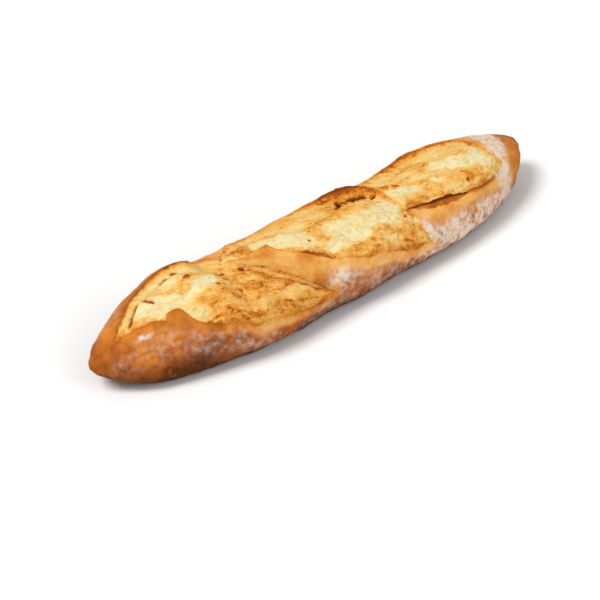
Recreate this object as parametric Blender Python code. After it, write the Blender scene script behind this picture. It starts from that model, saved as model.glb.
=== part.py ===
"""Rustic baguette, modelled as the one solid loaf that it is.

The loaf lies along X with its crown up (+Z) and rests on the plane Z = 0.  Its skin is a
lofted tube of superellipse sections.  Three long slanting cuts opened while it baked: each
one is a sunken band of crumb between a low near lip (-Y side) and a raised far lip, the ear.
"""

import bmesh
import bpy
import numpy as np

# Driving dimensions, metres.
LENGTH = 0.400
WIDTH = 0.084
HEIGHT = 0.052

# Mesh density: rings along the loaf, and points around each ring.
RINGS = 104
RING_POINTS = 44

HALF_LENGTH = LENGTH / 2
HALF_WIDTH = WIDTH / 2

# How each end closes, left (-X) and right (+X): a section keeps the share
# (1 - |s| ** reach) ** (1 / roundness) of its size, where s runs from -1 to 1 along the loaf.
WIDTH_REACH = (4.3, 4.2)
WIDTH_ROUNDNESS = (1.32, 1.42)
HEIGHT_REACH = (2.64, 2.26)
HEIGHT_ROUNDNESS = (1.5, 1.6)
TIP_HEIGHT = (0.38 * HEIGHT, 0.47 * HEIGHT)
LIFT_START = (0.68, 0.61)
LIFT_POWER = 2.2
LIFT_ROUNDNESS = (1.5, 1.15)

# Section shape: where the loaf is widest, and how square its upper and lower halves are.
WIDEST_LEVEL = 0.42
CROWN_SQUARENESS = 2.15
BELLY_SQUARENESS = 3.0
BELLY_DROP = 1.12

# Slow bend of the centre line towards +Y at both ends.
BEND = 0.0085

# Swelling of the crown, the far side and the near side, as (s, share of nominal size).
CROWN_SWELL = (
    (-1.00, 1.00), (-0.88, 1.02), (-0.80, 1.08), (-0.745, 1.13), (-0.68, 1.10), (-0.61, 1.16),
    (-0.55, 1.13), (-0.48, 0.98), (-0.40, 0.94), (-0.34, 0.92), (0.00, 0.92), (0.13, 0.93),
    (0.27, 0.865), (0.36, 0.86), (0.46, 0.90), (0.56, 0.95), (0.68, 1.00), (0.78, 0.98),
    (0.88, 0.95), (1.00, 1.00),
)
FAR_SWELL = (
    (-1.00, 1.00), (-0.78, 1.07), (-0.60, 1.10), (-0.38, 0.96), (0.00, 0.93), (0.30, 0.88),
    (0.62, 0.98), (1.00, 0.98),
)
NEAR_SWELL = (
    (-1.00, 1.00), (-0.68, 0.955), (-0.40, 1.045), (-0.18, 0.945), (0.06, 1.00), (0.22, 0.96),
    (0.36, 1.01), (1.00, 1.00),
)

# Lips of the three cuts, as (s, girth): girth is the distance from the crown line around the
# skin in half widths, negative towards the near side.
CUTS = (
    {
        "near": (
            (-0.905, -0.02), (-0.845, -0.17), (-0.775, -0.34), (-0.715, -0.38), (-0.69, -0.66),
            (-0.64, -0.92), (-0.55, -1.09), (-0.415, -1.17), (-0.295, -1.26), (-0.16, -1.27),
        ),
        "far": (
            (-0.905, -0.02), (-0.835, 0.22), (-0.745, 0.44), (-0.64, 0.54), (-0.53, 0.50), (-0.45, 0.40),
            (-0.405, 0.10), (-0.38, -0.25), (-0.32, -0.64), (-0.255, -0.93), (-0.16, -1.27),
        ),
    },
    {
        "near": (
            (-0.43, 0.20), (-0.37, 0.00), (-0.30, 0.02), (-0.262, -0.02), (-0.245, -0.28), (-0.20, -0.42),
            (-0.15, -0.60), (-0.10, -0.86), (0.06, -1.09), (0.15, -1.18), (0.293, -1.20),
        ),
        "far": (
            (-0.43, 0.20), (-0.38, 0.42), (-0.33, 0.57), (-0.04, 0.61), (0.11, 0.54), (0.165, 0.49),
            (0.215, 0.30), (0.245, -0.12), (0.272, -0.35), (0.284, -0.60), (0.293, -1.20),
        ),
    },
    {
        "near": (
            (0.225, 0.10), (0.258, -0.42), (0.278, -0.66), (0.296, -0.57), (0.36, -0.63), (0.46, -0.72),
            (0.54, -0.82), (0.61, -0.88), (0.69, -0.85), (0.75, -0.74), (0.785, -0.50),
        ),
        "far": (
            (0.225, 0.10), (0.262, 0.40), (0.365, 0.58), (0.51, 0.65), (0.61, 0.48), (0.70, 0.32),
            (0.755, 0.10), (0.785, -0.50),
        ),
    },
)

# Relief at the cuts: distances across a lip, and heights above or below the nominal skin.
EAR_HEIGHT = 0.0032
EAR_REACH = 0.0070
NEAR_LIP_HEIGHT = 0.0010
GROOVE_DEPTH = 0.0034
GROOVE_REACH = 0.0060
CRUMB_BULGE = 0.0012
CRUMB_REACH = 0.0120
LIP_SAMPLES = 90
# A grid point slides onto a lip that is nearer than this share of the grid's spacing.
SNAP_SHARE = 0.55
BASE_TOLERANCE = 1e-6

CRUST_COLOUR = (0.46, 0.20, 0.065, 1.0)
CRUST_ROUGHNESS = 0.72


def clear_scene():
    """Remove whatever the open file holds."""
    for obj in list(bpy.data.objects):
        bpy.data.objects.remove(obj, do_unlink=True)


def by_end(s, values):
    """Pick the left or the right value for each place along the loaf."""
    return np.where(s < 0, values[0], values[1])


def smooth_through(points, x):
    """Monotone cubic curve through the points."""
    px, py = np.array(points, dtype=float).T
    slope = np.diff(py) / np.diff(px)
    tangent = np.zeros(len(px))
    tangent[0] = slope[0]
    tangent[-1] = slope[-1]
    same_way = slope[:-1] * slope[1:] > 0
    product = slope[:-1][same_way] * slope[1:][same_way]
    tangent[1:-1][same_way] = 2 * product / (slope[:-1] + slope[1:])[same_way]
    k = np.clip(np.searchsorted(px, x) - 1, 0, len(px) - 2)
    step = px[k + 1] - px[k]
    t = np.clip((x - px[k]) / step, 0, 1)
    start = (2 * t**3 - 3 * t**2 + 1) * py[k] + (t**3 - 2 * t**2 + t) * step * tangent[k]
    end = (3 * t**2 - 2 * t**3) * py[k + 1] + (t**3 - t**2) * step * tangent[k + 1]
    return start + end


def signed_power(value, power):
    return np.sign(value) * np.abs(value) ** power


def skin(s, angle):
    """Points of the uncut skin: s along the loaf, angle around it, 90 degrees at the crown."""
    reach = np.abs(s)
    half_width = HALF_WIDTH * (1 - reach ** by_end(s, WIDTH_REACH)) ** (1 / by_end(s, WIDTH_ROUNDNESS))
    rise = (1 - reach ** by_end(s, HEIGHT_REACH)) ** (1 / by_end(s, HEIGHT_ROUNDNESS))
    tip = by_end(s, TIP_HEIGHT)
    top = tip + (HEIGHT * smooth_through(CROWN_SWELL, s) - tip) * rise
    lift = np.clip((reach - by_end(s, LIFT_START)) / (1 - by_end(s, LIFT_START)), 0, 1)
    base = tip * (1 - (1 - lift**LIFT_POWER) ** (1 / by_end(s, LIFT_ROUNDNESS)))
    widest = base + WIDEST_LEVEL * (top - base)

    across = np.cos(angle)
    up = np.sin(angle)
    square = np.where(up >= 0, CROWN_SQUARENESS, BELLY_SQUARENESS)
    side = half_width * np.where(across < 0, smooth_through(NEAR_SWELL, s), smooth_through(FAR_SWELL, s))
    y = side * signed_power(across, 2 / square) + BEND * (s**2 - 1 / 3)
    height = np.where(up >= 0, top - widest, (widest - base) * BELLY_DROP)
    z = np.maximum(widest + height * signed_power(up, 2 / square), base)
    x = np.broadcast_to(s * HALF_LENGTH, y.shape)
    return np.stack([x, y, z], axis=-1)


def girth_from_crown(rings, crown):
    """Distance of each ring point from the crown line along its ring, negative on the near side."""
    steps = np.linalg.norm(np.diff(rings, axis=1), axis=2)
    travelled = np.concatenate([np.zeros((len(rings), 1)), np.cumsum(steps, axis=1)], axis=1)
    return travelled[:, crown : crown + 1] - travelled


def inside_cut(cut, places):
    """True where a place on the unrolled skin lies between the lips of a cut."""
    s = places[..., 0] / HALF_LENGTH
    along = (s > cut["near"][0][0]) & (s < cut["near"][-1][0])
    above_near = places[..., 1] > smooth_through(cut["near"], s) * HALF_WIDTH
    below_far = places[..., 1] < smooth_through(cut["far"], s) * HALF_WIDTH
    return along & above_near & below_far


def lip_points(side):
    """Points along the lips on one side, without the stretches where two cuts run together."""
    kept = []
    for cut in CUTS:
        s = np.linspace(cut[side][0][0], cut[side][-1][0], LIP_SAMPLES)
        line = np.stack([s * HALF_LENGTH, smooth_through(cut[side], s) * HALF_WIDTH], axis=-1)
        swallowed = [inside_cut(other, line) for other in CUTS if other is not cut]
        kept.append(line[~np.any(swallowed, axis=0)])
    return np.concatenate(kept)


def to_nearest(points, places):
    """Step from each place on the unrolled skin to the nearest of the points."""
    gaps = points - places[:, :, None, :]
    closest = np.linalg.norm(gaps, axis=3).argmin(axis=2)
    return np.take_along_axis(gaps, closest[:, :, None, None], axis=2)[:, :, 0]


def relief(places, on_lip):
    """Height of the baked surface above the uncut skin."""
    open_crumb = np.any([inside_cut(cut, places) for cut in CUTS], axis=0) & ~on_lip
    near = np.linalg.norm(to_nearest(lip_points("near"), places), axis=2)
    far = np.linalg.norm(to_nearest(lip_points("far"), places), axis=2)
    crust = np.maximum(EAR_HEIGHT * np.exp(-far / EAR_REACH), NEAR_LIP_HEIGHT * np.exp(-near / EAR_REACH))
    lip = np.minimum(near, far)
    crumb = CRUMB_BULGE * (1 - np.exp(-lip / CRUMB_REACH)) - GROOVE_DEPTH * np.exp(-lip / GROOVE_REACH)
    return np.where(open_crumb, crumb, crust)


def outward(rings):
    """Unit normals of the ring grid, which closes on itself around the loaf."""
    along = np.gradient(rings, axis=0)
    around = np.roll(rings, -1, axis=1) - np.roll(rings, 1, axis=1)
    normal = np.cross(around, along)
    return normal / np.linalg.norm(normal, axis=2, keepdims=True)


def snapped_to_lips(s, angle, places):
    """Slide the grid points that lie close to a lip onto it, so that the lips are clean edges."""
    lips = np.concatenate([lip_points("near"), lip_points("far")])
    step = to_nearest(lips, places)
    girth_rate = np.gradient(places[..., 1], axis=1) / np.gradient(angle, axis=1)
    cell = np.stack([np.gradient(places[..., 0], axis=0), np.abs(np.gradient(places[..., 1], axis=1))], axis=-1)
    on_lip = np.all(np.abs(step) < SNAP_SHARE * cell, axis=2)
    s = s + np.where(on_lip, step[..., 0] / HALF_LENGTH, 0)
    angle = angle + np.where(on_lip, step[..., 1] / girth_rate, 0)
    return s, angle, places + step * on_lip[..., None], on_lip


def loaf_rings():
    """The ring grid of the finished surface, which of its points are on a lip, and its two tips."""
    s = np.sin(np.linspace(-0.5, 0.5, RINGS + 2) * np.pi)[1:-1, None]
    # Angles start under the base and go up the far side, over the crown and down the near side.
    angle = np.linspace(-0.5 * np.pi, 1.5 * np.pi, RING_POINTS + 1)[None, :]
    rings = skin(s, angle)
    girth = girth_from_crown(rings, RING_POINTS // 2)
    places = np.stack([rings[..., 0], girth], axis=-1)
    s, angle, places, on_lip = snapped_to_lips(s, angle, places)
    rings = skin(s, angle)[:, :-1]
    on_lip = on_lip[:, :-1]
    height = relief(places[:, :-1], on_lip)[..., None]
    on_base = rings[..., 2:] <= BASE_TOLERANCE
    rings = rings + np.where(on_base, 0, outward(rings) * height)
    rings[..., 2] = np.maximum(rings[..., 2], 0)
    tips = skin(np.array([[-1.0], [1.0]]), np.zeros((1, 1)))[:, 0]
    return rings, on_lip, tips


def centred(rings, tips):
    """Put the middle of the loaf's box at X = Y = 0 and its base at Z = 0."""
    points = np.concatenate([rings.reshape(-1, 3), tips])
    low = points.min(axis=0)
    middle = (low + points.max(axis=0)) / 2
    return points - (middle[0], middle[1], low[2])


def faces_between(corners, on_lip):
    """One grid cell as a quad, or as two triangles where its diagonal runs along a lip."""
    a, b, c, d = corners
    if on_lip[a] and on_lip[c]:
        return (a, b, c), (a, c, d)
    if on_lip[b] and on_lip[d]:
        return (b, c, d), (b, d, a)
    return (corners,)


def loaf_mesh(points, on_lip):
    """Close the ring grid into one outward-facing skin."""
    mesh = bmesh.new()
    verts = [mesh.verts.new(point) for point in points]
    ring = RING_POINTS
    for i in range(RINGS - 1):
        for j in range(ring):
            k = (j + 1) % ring
            corners = (i * ring + j, i * ring + k, (i + 1) * ring + k, (i + 1) * ring + j)
            for face in faces_between(corners, on_lip):
                mesh.faces.new([verts[c] for c in face])
    left_tip = verts[-2]
    right_tip = verts[-1]
    last = (RINGS - 1) * ring
    for j in range(ring):
        k = (j + 1) % ring
        mesh.faces.new((left_tip, verts[k], verts[j]))
        mesh.faces.new((right_tip, verts[last + j], verts[last + k]))
    bmesh.ops.recalc_face_normals(mesh, faces=mesh.faces)
    for face in mesh.faces:
        face.smooth = True
    data = bpy.data.meshes.new("loaf")
    mesh.to_mesh(data)
    mesh.free()
    return data


def crust_material():
    material = bpy.data.materials.new("baked_crust")
    material.use_nodes = True
    shader = material.node_tree.nodes["Principled BSDF"]
    shader.inputs["Base Color"].default_value = CRUST_COLOUR
    shader.inputs["Roughness"].default_value = CRUST_ROUGHNESS
    shader.inputs["Metallic"].default_value = 0.0
    return material


def build_loaf():
    rings, on_lip, tips = loaf_rings()
    loaf = bpy.data.objects.new("loaf", loaf_mesh(centred(rings, tips), on_lip.ravel()))
    loaf.data.materials.append(crust_material())
    bpy.context.scene.collection.objects.link(loaf)


clear_scene()
build_loaf()
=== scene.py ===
"""Rustic baguette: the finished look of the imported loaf, with floor, lights and camera."""

import bpy
import numpy as np
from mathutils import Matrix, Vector, kdtree, noise


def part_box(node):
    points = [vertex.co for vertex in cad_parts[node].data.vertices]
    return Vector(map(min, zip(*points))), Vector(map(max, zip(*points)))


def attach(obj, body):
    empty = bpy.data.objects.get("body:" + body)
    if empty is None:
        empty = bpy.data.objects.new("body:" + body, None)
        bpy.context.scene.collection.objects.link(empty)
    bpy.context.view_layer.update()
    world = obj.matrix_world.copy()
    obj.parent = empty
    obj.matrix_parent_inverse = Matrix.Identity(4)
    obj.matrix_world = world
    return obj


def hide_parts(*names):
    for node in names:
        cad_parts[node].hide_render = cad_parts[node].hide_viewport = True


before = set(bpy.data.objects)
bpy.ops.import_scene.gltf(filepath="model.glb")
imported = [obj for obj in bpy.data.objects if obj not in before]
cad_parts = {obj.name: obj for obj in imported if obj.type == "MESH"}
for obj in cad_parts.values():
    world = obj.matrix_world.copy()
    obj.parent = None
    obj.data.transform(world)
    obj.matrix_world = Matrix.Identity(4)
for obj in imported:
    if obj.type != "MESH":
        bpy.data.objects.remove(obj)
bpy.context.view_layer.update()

MM = 0.001

# ---- Sizes from the frame ----
LOW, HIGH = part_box("loaf")
SPAN = HIGH - LOW
HALF_LENGTH = SPAN.x / 2
# The plain skin is smaller than the box, because swellings, ears and the bend add to it.
HALF_WIDTH = 0.4758 * SPAN.y
HEIGHT = 0.960 * SPAN.z

# Grid of the skin: rings along the loaf, and points around each ring. The rings crowd a little
# towards the tips, and the points crowd over the opened crown.
RINGS = 496
RING_POINTS = 198
TIP_CROWDING = 0.30
OPENED_GIRTH = (-60 * MM, 32 * MM)
OPENED_MARGIN = 6 * MM
PLAIN_DENSITY = 0.42
FINE_ANGLES = 2001
UV_MARGIN = 0.01

# How each end closes, left and right: a section keeps the share
# (1 - |s| ** reach) ** (1 / roundness) of its size, where s runs from -1 to 1 along the loaf.
WIDTH_REACH = (4.3, 4.2)
WIDTH_ROUNDNESS = (1.32, 1.42)
HEIGHT_REACH = (2.64, 2.26)
HEIGHT_ROUNDNESS = (1.5, 1.6)
TIP_HEIGHT = (0.38 * HEIGHT, 0.47 * HEIGHT)
LIFT_START = (0.68, 0.61)
LIFT_POWER = 2.2
LIFT_ROUNDNESS = (1.5, 1.15)
WIDEST_LEVEL = 0.42
CROWN_SQUARENESS = 2.15
BELLY_SQUARENESS = 3.0
BELLY_DROP = 1.12
BEND = 8.5 * MM
# Relief fades out between these heights above the floor, so that the loaf rests flat.
FLAT_BASE = (0.2 * MM, 3 * MM)

# Swelling of the crown, the far side and the near side, as (s, share of nominal size).
CROWN_SWELL = (
    (-1, 1), (-0.88, 1.02), (-0.8, 1.08), (-0.745, 1.13), (-0.68, 1.1), (-0.61, 1.16),
    (-0.55, 1.13), (-0.48, 0.98), (-0.4, 0.94), (-0.34, 0.92), (0, 0.92), (0.13, 0.93),
    (0.27, 0.865), (0.36, 0.86), (0.46, 0.9), (0.56, 0.95), (0.68, 1), (0.78, 0.98),
    (0.88, 0.95), (1, 1),
)
FAR_SWELL = (
    (-1, 1), (-0.78, 1.07), (-0.6, 1.1), (-0.38, 0.96), (0, 0.93), (0.3, 0.88),
    (0.62, 0.98), (1, 0.98),
)
NEAR_SWELL = (
    (-1, 1), (-0.68, 0.955), (-0.4, 1.045), (-0.18, 0.945), (0.06, 1), (0.22, 0.96),
    (0.36, 1.01), (1, 1),
)

# ---- The cuts ----
# A place on the unrolled skin is (s, girth): girth is the distance from the crown line around
# the skin in half widths, negative on the near side. Each cut has a near lip, a far lip and a
# seam, the bottom of the groove where the lifted crust meets the crumb. The third number is
# the lip's height above the skin, or the seam's depth below it, in millimetres.
LEFT_CUT = {
    "near": (
        (-0.905, -0.02, 0.3), (-0.865, -0.08, 0.3), (-0.792, -0.23, 0.5), (-0.775, -0.29, 0.7),
        (-0.756, -0.37, 0.9), (-0.742, -0.32, 1.3), (-0.712, -0.32, 1.7), (-0.697, -0.38, 1.6),
        (-0.688, -0.52, 1.3), (-0.676, -0.63, 1.1), (-0.648, -0.79, 1), (-0.612, -0.94, 0.9),
        (-0.513, -1.13, 0.8), (-0.404, -1.2, 0.7), (-0.278, -1.28, 0.6), (-0.2, -1.29, 0.4),
        (-0.148, -1.2, 0.3),
    ),
    "far": (
        (-0.905, -0.02, 0.3), (-0.835, 0.22, 0.6), (-0.748, 0.44, 1.6), (-0.66, 0.56, 2.6),
        (-0.54, 0.5, 2.4), (-0.45, 0.4, 2), (-0.408, 0.12, 2), (-0.385, -0.08, 2.4),
        (-0.362, -0.2, 2.6), (-0.337, -0.36, 2.6), (-0.314, -0.52, 2.6), (-0.282, -0.7, 2.4),
        (-0.232, -0.9, 2), (-0.19, -1.06, 1.4), (-0.148, -1.2, 0.5),
    ),
    "seam": (
        (-0.9, -0.02, 0.2), (-0.82, 0.14, 0.8), (-0.73, 0.32, 1.6), (-0.64, 0.4, 2.2),
        (-0.56, 0.2, 1.8), (-0.5, 0.06, 1.6), (-0.43, 0.02, 2), (-0.396, -0.14, 1.8),
        (-0.37, -0.28, 1.8), (-0.34, -0.46, 1.6), (-0.312, -0.62, 1.5), (-0.27, -0.82, 1.2),
        (-0.215, -1.03, 0.7), (-0.153, -1.19, 0.3),
    ),
    "bulge": 1.6,
}
MIDDLE_CUT = {
    "near": (
        (-0.43, 0.2, 0.4), (-0.37, 0.04, 0.8), (-0.3, 0.06, 1.2), (-0.258, 0.05, 2.4),
        (-0.244, -0.12, 1.2), (-0.209, -0.31, 1), (-0.162, -0.47, 0.9), (-0.118, -0.61, 1),
        (-0.097, -0.77, 0.9), (-0.049, -0.87, 0.9), (0.002, -0.97, 0.9), (0.078, -1.07, 0.8),
        (0.162, -1.16, 0.7), (0.227, -1.2, 0.5), (0.306, -1.21, 0.3),
    ),
    "far": (
        (-0.43, 0.2, 0.4), (-0.38, 0.42, 1.2), (-0.33, 0.57, 1.8), (-0.27, 0.58, 1.4),
        (-0.165, 0.62, 1.6), (-0.04, 0.61, 2), (0.04, 0.56, 2.8), (0.11, 0.54, 3.8),
        (0.165, 0.5, 4.5), (0.21, 0.43, 4.5), (0.243, 0.32, 4), (0.26, 0.14, 3.2),
        (0.27, -0.06, 2.2), (0.277, -0.3, 1.3), (0.286, -0.5, 1), (0.289, -0.66, 0.8),
        (0.296, -0.8, 0.8), (0.298, -0.97, 0.7), (0.304, -1.09, 0.6), (0.306, -1.21, 0.3),
    ),
    "seam": (
        (-0.42, 0.22, 0.4), (-0.345, 0.34, 1.8), (-0.3, 0.38, 1.6), (-0.24, 0.3, 1.4),
        (-0.165, 0.19, 1.4), (-0.095, 0.04, 1.6), (-0.01, 0.05, 2), (0.06, 0.1, 3),
        (0.11, 0.15, 4.2), (0.17, 0.13, 4.6), (0.225, 0.06, 4), (0.252, -0.1, 2.4),
        (0.266, -0.34, 0.8), (0.282, -0.8, 0.4), (0.303, -1.2, 0.3),
    ),
    "bulge": 1.2,
}
RIGHT_CUT = {
    "near": (
        (0.256, 0.36, 0.4), (0.267, 0.16, 0.5), (0.273, -0.15, 0.5), (0.277, -0.42, 0.6),
        (0.283, -0.54, 0.8), (0.296, -0.54, 1.4), (0.35, -0.58, 1.9), (0.404, -0.62, 1.9),
        (0.452, -0.67, 1.8), (0.5, -0.74, 1.6), (0.538, -0.78, 1.2), (0.6, -0.8, 0.9),
        (0.652, -0.79, 0.8), (0.711, -0.73, 0.7), (0.76, -0.66, 0.5), (0.788, -0.57, 0.4),
    ),
    "far": (
        (0.256, 0.36, 0.4), (0.275, 0.47, 1.4), (0.31, 0.53, 1.8), (0.426, 0.61, 2.4),
        (0.51, 0.62, 2.8), (0.592, 0.5, 2.6), (0.703, 0.32, 1.8), (0.75, 0.16, 1),
        (0.77, -0.16, 0.7), (0.78, -0.4, 0.5), (0.788, -0.57, 0.4),
    ),
    "seam": (
        (0.26, 0.34, 0.3), (0.3, 0.24, 1.2), (0.38, 0.25, 1.8), (0.45, 0.31, 2.8),
        (0.51, 0.29, 3), (0.56, 0.21, 2), (0.675, 0.07, 1.4), (0.745, -0.12, 0.9),
        (0.783, -0.5, 0.4),
    ),
    "bulge": 1.8,
}
CUTS = (LEFT_CUT, MIDDLE_CUT, RIGHT_CUT)

# Small places, as (s, girth, half length, half width, height) with the last three in
# millimetres: deep hollows where crust and crumb came apart, painted darker with their depth as
# shade, flakes of crust on the crumb, and knobs of crust.
HOLLOWS = (
    (0.104, 0.23, 2.2, 1.4, -2), (0.122, 0.27, 2.2, 2.6, -3), (0.148, 0.24, 3.2, 1.2, -2.4),
    (0.186, 0.24, 5.2, 2.1, -3.4), (0.218, 0.18, 4.2, 1.8, -3), (0.246, 0.05, 3, 1.1, -2),
    (0.44, 0.34, 3.2, 0.9, -1.6), (0.476, 0.33, 3.4, 1.5, -2.8), (0.52, 0.31, 3.8, 1.4, -2.6),
    (-0.336, 0.33, 2.8, 2.2, -2.8), (-0.398, -0.1, 2.6, 1.3, -2), (-0.488, -0.24, 2.6, 1.2, -1.6),
    (-0.466, -0.34, 2.2, 1, -1.4), (-0.545, -0.36, 1.8, 1.3, -1.4), (-0.48, -0.54, 1.8, 1.1, -1.2),
    (-0.52, -0.05, 2.4, 1.4, -1.4), (-0.475, -0.09, 1.8, 1.3, -1.5), (-0.615, -0.9, 2.4, 1, -1.2),
    (-0.565, -0.79, 2.6, 0.9, -1.1), (-0.545, -0.9, 2.2, 0.9, -1.1), (-0.125, -0.28, 1.4, 1.6, -1.3),
    (0.212, -0.2, 2, 1.1, -1.3), (0.258, -0.66, 1.6, 1.1, -1.1), (-0.69, 0.33, 2.6, 1.3, -1.4),
    (-0.635, 0.4, 3.4, 1.4, -1.8), (-0.595, 0.4, 3, 1.3, -1.7), (-0.565, 0.17, 2.8, 1.1, -1.4),
    (0.585, -0.62, 1.4, 2, -1.1), (0.64, -0.1, 2, 1.1, -1.1),
)
FLAKES = (
    (-0.645, -0.12, 6.5, 4, 1.3), (-0.6, 0.02, 3, 1.8, 0.7), (0.3, 0.05, 3, 2, 1.2),
    (0.33, -0.06, 3.5, 1.6, 0.9), (0.48, -0.32, 3, 2, 0.9),
)
KNOBS = ((-0.325, 0.48, 6, 6.5, 2.4), (-0.385, 0.33, 4.5, 4, 1.2))
# Grooves, as (width, depth, darkness, places on the path) with width and depth in millimetres.
# The darkness is painted shade along the groove.
GROOVES = (
    (1.4, 2.2, 0.5, (
        (-0.842, -0.02), (-0.828, 0.06), (-0.806, 0.15), (-0.78, 0.22), (-0.762, 0.25),
        (-0.748, 0.23), (-0.742, 0.16), (-0.736, 0.06),
    )),
    (1.5, 1.5, 0.62, ((-0.398, -0.12), (-0.378, -0.26), (-0.345, -0.46))),
    (1, 0.8, 0.4, ((-0.345, -0.46), (-0.312, -0.64), (-0.265, -0.86), (-0.205, -1.08))),
)
# Strips of darker crust, as (width, darkness, places on the path).
SCORCHES = (
    (0.9, 0.55, ((0.285, -0.56), (0.35, -0.6), (0.452, -0.69), (0.538, -0.8))),
    (1.6, 0.45, ((0.538, -0.8), (0.6, -0.83), (0.652, -0.82), (0.711, -0.76), (0.768, -0.67))),
)

# Narrow tears in the crust beside the cuts, as near and far edges, and a depth in millimetres.
# They show bare crust, baked darker than the crust around them.
TEARS = (
    {
        "near": (
            (0.29, -0.55, 0.2), (0.328, -0.65, 0.5), (0.382, -0.73, 0.6), (0.444, -0.81, 0.6),
            (0.491, -0.84, 0.5), (0.548, -0.8, 0.2),
        ),
        "far": (
            (0.29, -0.55, 0.2), (0.328, -0.55, 0.8), (0.382, -0.59, 0.8), (0.444, -0.65, 0.8),
            (0.491, -0.71, 0.6), (0.548, -0.8, 0.2),
        ),
        "depth": 1.1,
    },
    {
        "near": ((-0.205, -0.33, 0.2), (-0.165, -0.53, 0.5), (-0.13, -0.66, 0.5), (-0.094, -0.79, 0.2)),
        "far": ((-0.205, -0.33, 0.2), (-0.165, -0.45, 0.6), (-0.13, -0.55, 0.6), (-0.094, -0.79, 0.2)),
        "depth": 0.7,
    },
)

# Reach of the relief at the lips and the seam, and its shape.
EAR_REACH = 7.5 * MM
NEAR_REACH = 4.0 * MM
SEAM_REACH = 3.4 * MM
WALL_CURVE = 1.4
WALL_BLEND = 1.5 * MM
UNDER_EAR = 0.4 * MM
SWELL_SKEW = 0.8
SWELL_FULLNESS = 0.7
NEAR_STEP = 1.1 * MM
NEAR_STEP_REACH = 2.6 * MM
OVERHANG_SHARE = 0.38
OVERHANG_REACH = 2.2 * MM
UNDERCUT_SHARE = 0.5
LEAST_GAP = 0.2 * MM
# Distances from a lip where the torn crumb's relief and the small places reach full strength.
LIP_CALM = 2.5 * MM
OFF_LIP = 1.4 * MM
# Small places: how sharp the ovals are, how far noise moves them, and the depth in millimetres
# at which a hollow is painted fully in shade.
HOLLOW_EDGE = (0.12, 0.8)
FLAKE_EDGE = (0.25, 0.6)
WANDER = 1.3 * MM
FULL_SHADE_DEPTH = 2.4

# Raggedness of the lips, as (size, amount). Each kind of edge has its own shift of the noise, and
# the raggedness fades out over the last stretch of s, where two lips meet.
RAGGED_COARSE = (7.0 * MM, 1.2 * MM)
RAGGED_FINE = (2.2 * MM, 0.55 * MM)
EDGE_SHIFTS = {"near": 11.7, "far": 29.3, "seam": 47.9}
FINE_SHIFT = 5.3
CLEAN_ENDS = 0.03
# Sampling of the lips, and how near to one a grid point has to be, in cells, to slide onto it.
FINE_SAMPLES = 3000
LIP_STEP = 0.4 * MM
STEADY_SAMPLES = 9
SNAP_SHARE = 0.52

# ---- Noise ----
# The torn crumb was pulled in one direction: the fibres run with the cuts on the unrolled skin.
PULL = np.array((0.95, -0.31))
ACROSS = np.array((0.31, 0.95))

# Layers on the torn crumb, as (size along the pull, size across it, octaves, shift) with sizes in
# millimetres. Each layer has a shift of its own, so that no two look alike.
CRUMB_NOISE = {
    "folds": (24, 10, 3, 3.1),
    "strands": (14, 4.6, 3, 7.7),
    "crumbs": (3.6, 2.4, 3, 1.9),
    "patches": (26, 16, 2, 14.2),
    "cracks": (17, 6, 3, 16.4),
    "cracked": (13, 13, 2, 18.9),
    "streaks": (24, 2.6, 2, 5.0),
    "veins": (15, 6, 4, 12.4),
    "flecks": (6.5, 2.8, 3, 31.7),
    "rims": (3.0, 14, 3, 26.1),
    "wander along": (4.0, 4.0, 2, 20.5),
    "wander around": (4.0, 4.0, 2, 23.5),
}
# Layers on the crust, as (size, octaves, shift), with one size for all directions or one for each.
CRUST_NOISE = {
    "lumps": (34, 2, 6.6),
    "wrinkles": ((16, 6, 6), 4, 2.2),
    "mottle": (20, 4, 21.0),
    "cover": (26, 3, 15.0),
    "clumps": (3.6, 3, 18.0),
    "collar": (16, 3, 35.5),
}
# How much finer and how much weaker each octave is than the one before.
NOISE_STEP = 2.0
NOISE_FALL = 0.9
# Cells of pores and blisters, with the radii between which a dot fades out, in cell widths.
PORE_CELL = (5.0, 3.6, 1)
PORE_SHIFT = 4.4
PORE_RADII = (0.1, 0.42)
BLISTER_CELL = 5.0 * MM
BLISTER_SHIFT = 8.8
BLISTER_RADII = (0.05, 0.5)
# A cell holds a dot where a number made from its centre is above this share.
EMPTY_CELLS = 0.70
HASH_DIRECTION = (12.9898, 78.233, 37.719)
HASH_SCALE = 43758.5453

# Heights of the layers, and the levels that ridges are measured from.
FOLD_HEIGHT = 1.8 * MM
STRAND_HEIGHT = 1.9 * MM
STRAND_LEVEL = 0.7
CRUMB_HEIGHT = 0.6 * MM
STREAK_HEIGHT = 0.9 * MM
STREAK_LEVEL = 0.8
PORE_DEPTH = 1.3 * MM
CRACK_DEPTH = 1.1 * MM
CRACK_WIDTH = 0.075
LUMP_HEIGHT = 1.0 * MM
WRINKLE_HEIGHT = 0.55 * MM
BLISTER_HEIGHT = 0.40 * MM
# Share of strands and crumbs on calm and on rough patches, and of folds and crumbs on a far wall.
PATCH_ROUGHNESS = (0.45, 1.2)
WALL_FOLDS = 0.45
WALL_CRUMBS = 0.35
# How much painted shade a pore takes next to a crack, and how far a far wall is free of that painted shade.
PORE_SHADE = 0.8
WALL_UNSHADED = 0.6

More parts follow.
